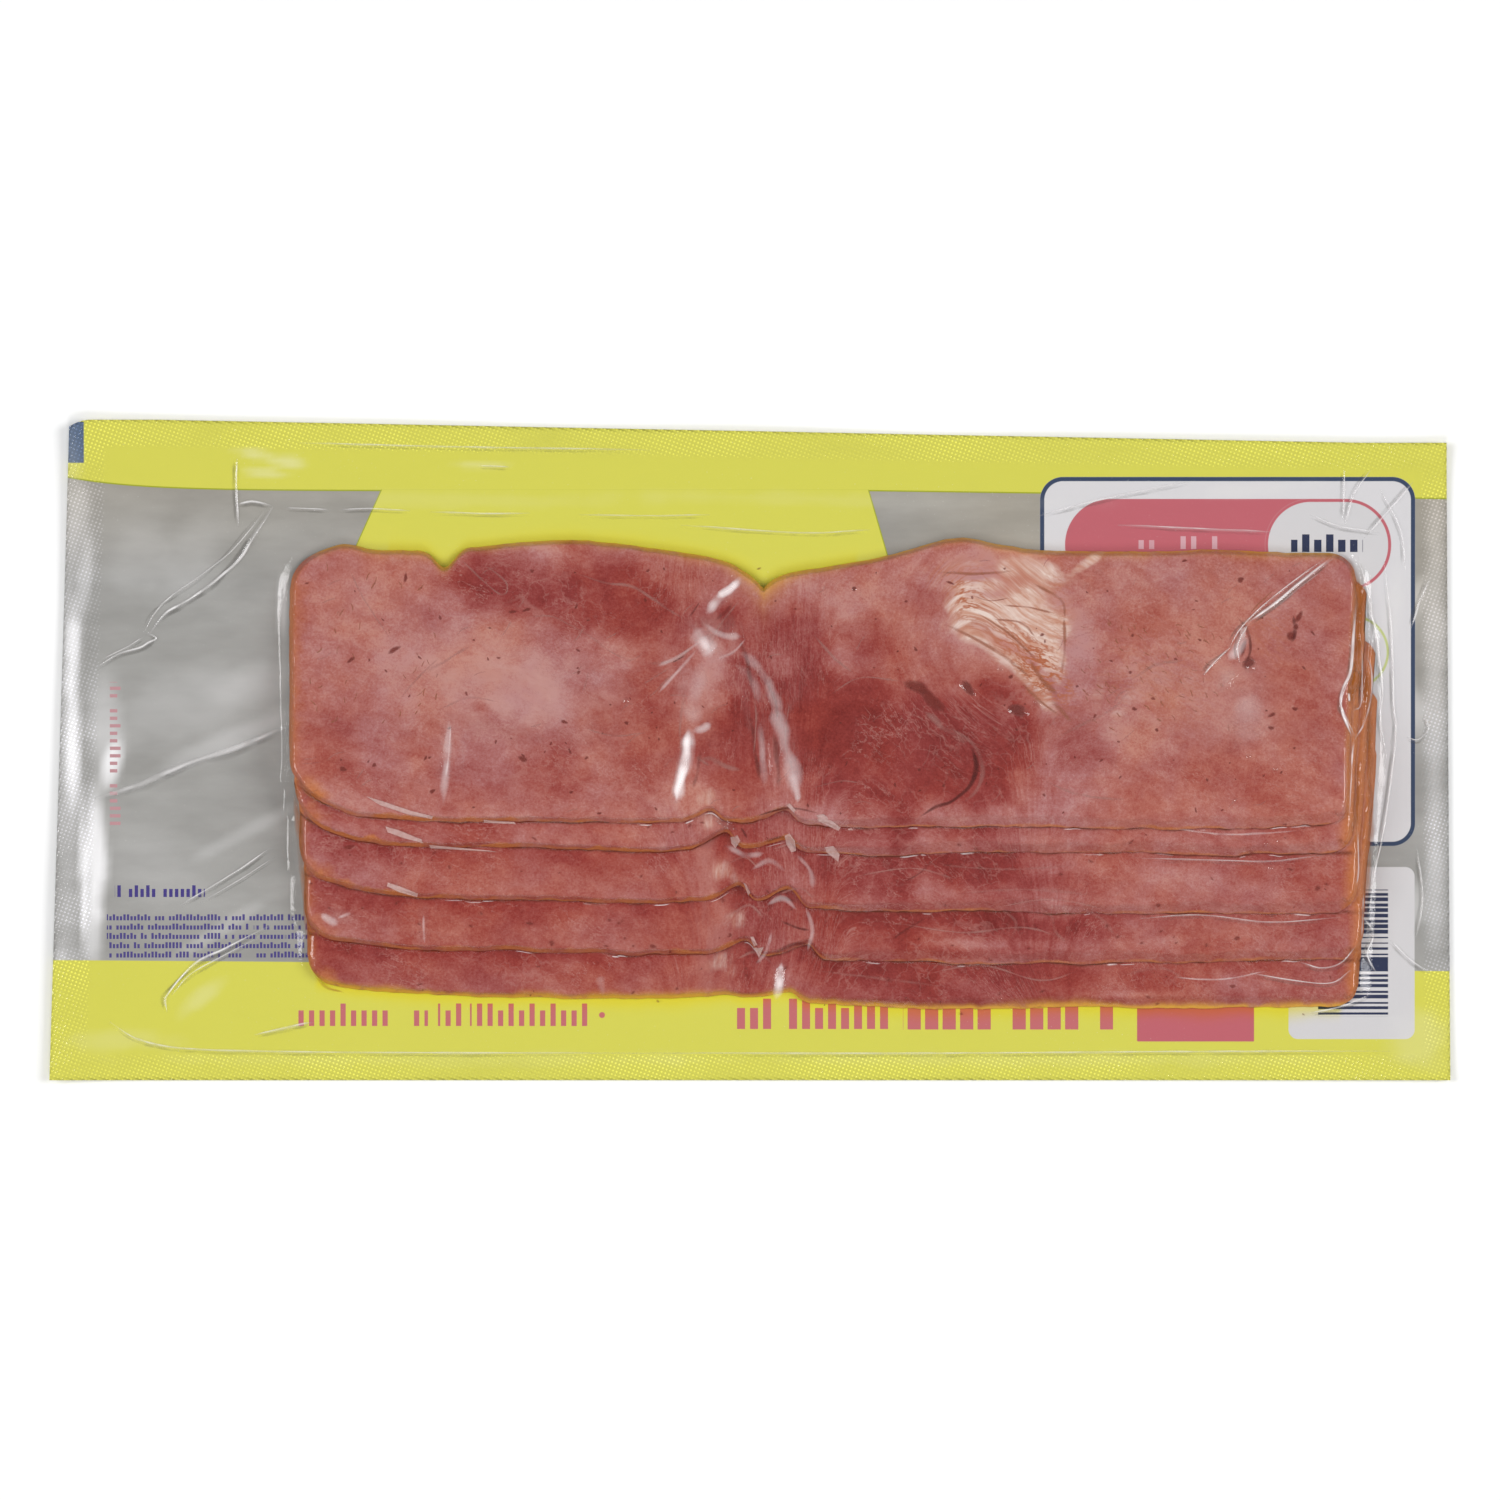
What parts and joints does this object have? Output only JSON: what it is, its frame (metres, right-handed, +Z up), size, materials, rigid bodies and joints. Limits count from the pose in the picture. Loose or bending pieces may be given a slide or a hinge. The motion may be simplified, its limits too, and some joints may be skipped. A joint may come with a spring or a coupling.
{
  "type": "bacon pack",
  "caption": "Flat vacuum pack of shingled bacon rashers, drawn tight under clear film on a printed backing film.",
  "frame": {"origin": "middle of the pack's underside, where the printed film lies on the table", "axes": "+X along the pack's length, +Y towards the row's back edge with the notch, +Z up through the clear film"},
  "size_m": [0.28, 0.132, 0.0127],
  "materials": {
    "printed_film": "glossy plastic film, lemon yellow and silver grey print seen through clear film",
    "bacon_under_film": "pink cured pork, wet, under tight clear film"
  },
  "bodies": {
    "root": {"printed_film": "printed_film", "filled_bag": "bacon_under_film"}
  },
  "joints": []
}
